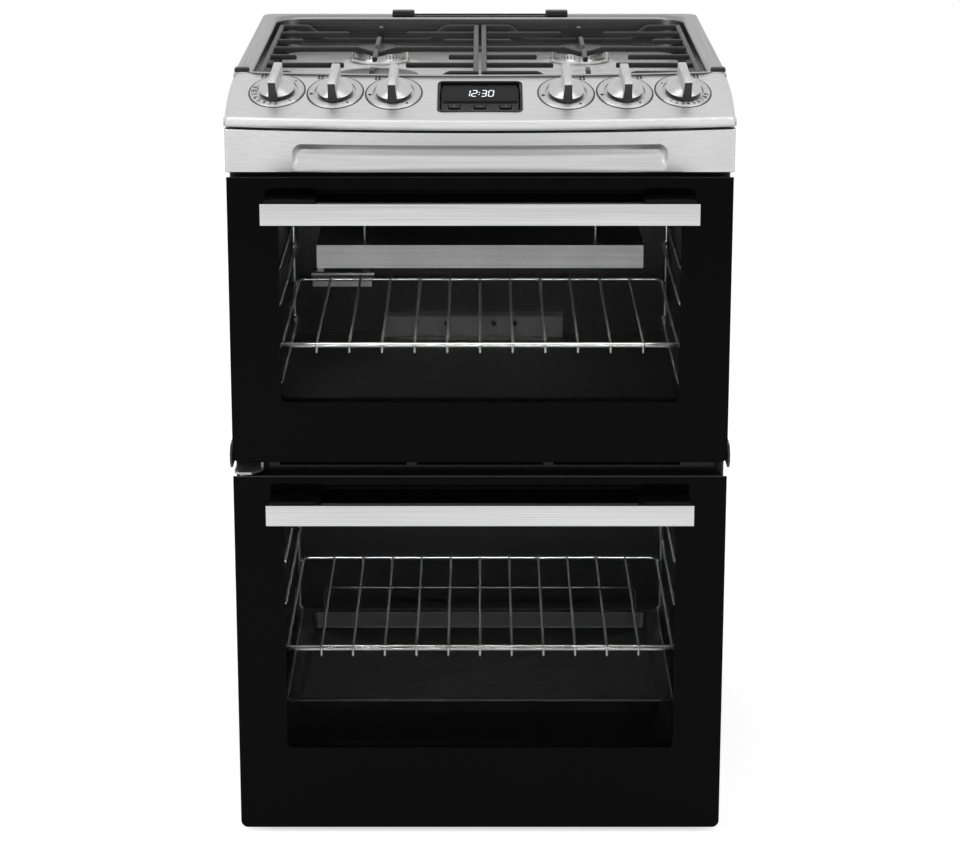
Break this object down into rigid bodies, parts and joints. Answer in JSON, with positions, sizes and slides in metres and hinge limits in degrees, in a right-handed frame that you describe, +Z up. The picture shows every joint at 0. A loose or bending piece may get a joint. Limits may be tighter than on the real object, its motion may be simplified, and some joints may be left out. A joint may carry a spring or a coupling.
{
  "type": "gas cooker",
  "caption": "Freestanding gas cooker with a burner hob, sloping knob fascia with a clock, a drop-down upper oven and grill door and a side-hung lower oven door.",
  "frame": {"origin": "on the floor, under the middle of the cooker's overall box, handles included", "axes": "+Z up, -Y towards the person at the doors, +X to that person's right"},
  "size_m": [0.6024, 0.64, 0.9592],
  "materials": {
    "fascia_steel": "brushed, grain along the width",
    "hob_steel": "brushed, bright",
    "handle_steel": "brushed along the bar",
    "knob_steel": "satin top, dark sides",
    "door_glass": "gloss, printed black outside a dotted window",
    "inner_glass": "clear",
    "clock_glass": "gloss, smoked",
    "black_plastic": "satin, moulded",
    "gloss_black_plastic": "gloss",
    "black_enamel": "gloss enamel",
    "casing_paint": "satin",
    "plated_sheet": "dull zinc",
    "grey_enamel": "satin, light grey",
    "chrome_wire": "polished",
    "support_iron": "matt enamel",
    "cap_enamel": "matt enamel",
    "burner_metal": "polished",
    "tap_metal": "cast",
    "spindle_brass": "turned",
    "gasket": "matt",
    "foot_rubber": "matt",
    "white_ceramic": "glazed"
  },
  "bodies": {
    "cooker": {"side_panels": "casing_paint", "back_panel": "plated_sheet", "base_pan": "plated_sheet", "levelling_feet": "foot_rubber", "front_frame": "black_enamel", "upper_hinge_caps": "black_plastic", "lower_hinge_brackets": "chrome_wire", "upper_cavity": "black_enamel", "lower_cavity": "black_enamel", "door_gaskets": "gasket", "shelf_ladders": "chrome_wire", "grill_shield": "grey_enamel", "grill_burner": "burner_metal", "oven_burners": "black_enamel", "sensor_bracket": "plated_sheet", "control_fascia": "fascia_steel", "trim_strip": "fascia_steel", "clock_housing": "gloss_black_plastic", "clock_lens": "clock_glass", "knob_bezels": "knob_steel", "gas_taps": "tap_metal", "gas_rail": "plated_sheet", "terminal_cover": "black_plastic", "hob_tray": "hob_steel", "rim_end_caps": "black_plastic", "rear_lid_blocks": "black_plastic", "burner_bases": "burner_metal", "burner_crowns": "burner_metal", "burner_caps": "cap_enamel", "spark_electrodes": "white_ceramic"},
    "upper_door": {"upper_door_glass": "door_glass", "upper_door_pan": "black_enamel", "upper_inner_glass": "inner_glass", "upper_handle_bar": "handle_steel", "upper_handle_posts": "black_plastic"},
    "lower_door": {"lower_door_glass": "door_glass", "lower_door_pan": "black_enamel", "lower_inner_glass": "inner_glass", "lower_handle_bar": "handle_steel", "lower_handle_posts": "black_plastic"},
    "upper_shelf_body": {"upper_shelf": "chrome_wire"},
    "lower_shelf_body": {"lower_shelf": "chrome_wire"},
    "tray_body": {"enamel_tray": "black_enamel"},
    "left_support": {"left_pan_support": "support_iron"},
    "right_support": {"right_pan_support": "support_iron"},
    "tap_1": {"tap_spindle_1": "spindle_brass"},
    "knob_body_1": {"knob_1": "knob_steel"},
    "tap_2": {"tap_spindle_2": "spindle_brass"},
    "knob_body_2": {"knob_2": "knob_steel"},
    "tap_3": {"tap_spindle_3": "spindle_brass"},
    "knob_body_3": {"knob_3": "knob_steel"},
    "tap_4": {"tap_spindle_4": "spindle_brass"},
    "knob_body_4": {"knob_4": "knob_steel"},
    "tap_5": {"tap_spindle_5": "spindle_brass"},
    "knob_body_5": {"knob_5": "knob_steel"},
    "tap_6": {"tap_spindle_6": "spindle_brass"},
    "knob_body_6": {"knob_6": "knob_steel"},
    "button_1": {"clock_button_1": "gloss_black_plastic"},
    "button_2": {"clock_button_2": "gloss_black_plastic"},
    "button_3": {"clock_button_3": "gloss_black_plastic"}
  },
  "joints": [
    {"name": "tap_1_turn", "type": "hinge", "parent": "cooker", "child": "tap_1", "pos_m": [-0.239, -0.23383, 0.92567], "axis": [-0.0648, -0.4176, 0.9063], "range_deg": [0, 250]},
    {"name": "knob_1_push", "type": "slide", "parent": "tap_1", "child": "knob_body_1", "axis": [0.0648, 0.4176, -0.9063], "range_m": [0, 0.003], "stiffness_N_per_m": 1000, "springref_m": -0.002},
    {"name": "tap_2_turn", "type": "hinge", "parent": "cooker", "child": "tap_2", "pos_m": [-0.17, -0.24295, 0.92567], "axis": [-0.0461, -0.4201, 0.9063], "range_deg": [0, 210]},
    {"name": "knob_2_push", "type": "slide", "parent": "tap_2", "child": "knob_body_2", "axis": [0.0461, 0.4201, -0.9063], "range_m": [0, 0.003], "stiffness_N_per_m": 1000, "springref_m": -0.002},
    {"name": "tap_3_turn", "type": "hinge", "parent": "cooker", "child": "tap_3", "pos_m": [-0.101, -0.24897, 0.92567], "axis": [-0.0274, -0.4217, 0.9063], "range_deg": [0, 210]},
    {"name": "knob_3_push", "type": "slide", "parent": "tap_3", "child": "knob_body_3", "axis": [0.0274, 0.4217, -0.9063], "range_m": [0, 0.003], "stiffness_N_per_m": 1000, "springref_m": -0.002},
    {"name": "tap_4_turn", "type": "hinge", "parent": "cooker", "child": "tap_4", "pos_m": [0.101, -0.24897, 0.92567], "axis": [0.0274, -0.4217, 0.9063], "range_deg": [0, 210]},
    {"name": "knob_4_push", "type": "slide", "parent": "tap_4", "child": "knob_body_4", "axis": [-0.0274, 0.4217, -0.9063], "range_m": [0, 0.003], "stiffness_N_per_m": 1000, "springref_m": -0.002},
    {"name": "tap_5_turn", "type": "hinge", "parent": "cooker", "child": "tap_5", "pos_m": [0.17, -0.24295, 0.92567], "axis": [0.0461, -0.4201, 0.9063], "range_deg": [0, 210]},
    {"name": "knob_5_push", "type": "slide", "parent": "tap_5", "child": "knob_body_5", "axis": [-0.0461, 0.4201, -0.9063], "range_m": [0, 0.003], "stiffness_N_per_m": 1000, "springref_m": -0.002},
    {"name": "tap_6_turn", "type": "hinge", "parent": "cooker", "child": "tap_6", "pos_m": [0.239, -0.23383, 0.92567], "axis": [0.0648, -0.4176, 0.9063], "range_deg": [0, 250]},
    {"name": "knob_6_push", "type": "slide", "parent": "tap_6", "child": "knob_body_6", "axis": [-0.0648, 0.4176, -0.9063], "range_m": [0, 0.003], "stiffness_N_per_m": 1000, "springref_m": -0.002},
    {"name": "button_1_press", "type": "slide", "parent": "cooker", "child": "button_1", "axis": [0, 0.4226, -0.9063], "range_m": [0, 0.0008], "stiffness_N_per_m": 1500, "springref_m": -0.0005},
    {"name": "button_2_press", "type": "slide", "parent": "cooker", "child": "button_2", "axis": [0, 0.4226, -0.9063], "range_m": [0, 0.0008], "stiffness_N_per_m": 1500, "springref_m": -0.0005},
    {"name": "button_3_press", "type": "slide", "parent": "cooker", "child": "button_3", "axis": [0, 0.4226, -0.9063], "range_m": [0, 0.0008], "stiffness_N_per_m": 1500, "springref_m": -0.0005},
    {"name": "upper_door_hinge", "type": "hinge", "parent": "cooker", "child": "upper_door", "pos_m": [0, -0.263, 0.488], "axis": [1, 0, 0], "range_deg": [0, 90]},
    {"name": "lower_door_hinge", "type": "hinge", "parent": "cooker", "child": "lower_door", "pos_m": [-0.286, -0.262, 0.24], "axis": [0, 0, -1], "range_deg": [0, 100]},
    {"name": "upper_shelf_slide", "type": "slide", "parent": "cooker", "child": "upper_shelf_body", "axis": [0, -1, 0], "range_m": [0, 0.02]},
    {"name": "lower_shelf_slide", "type": "slide", "parent": "cooker", "child": "lower_shelf_body", "axis": [0, -1, 0], "range_m": [0, 0.02]},
    {"name": "tray_slide", "type": "slide", "parent": "cooker", "child": "tray_body", "axis": [0, -1, 0], "range_m": [0, 0.02]},
    {"name": "left_support_lift", "type": "slide", "parent": "cooker", "child": "left_support", "axis": [0, 0, 1], "range_m": [0, 0.06]},
    {"name": "right_support_lift", "type": "slide", "parent": "cooker", "child": "right_support", "axis": [0, 0, 1], "range_m": [0, 0.06]}
  ]
}
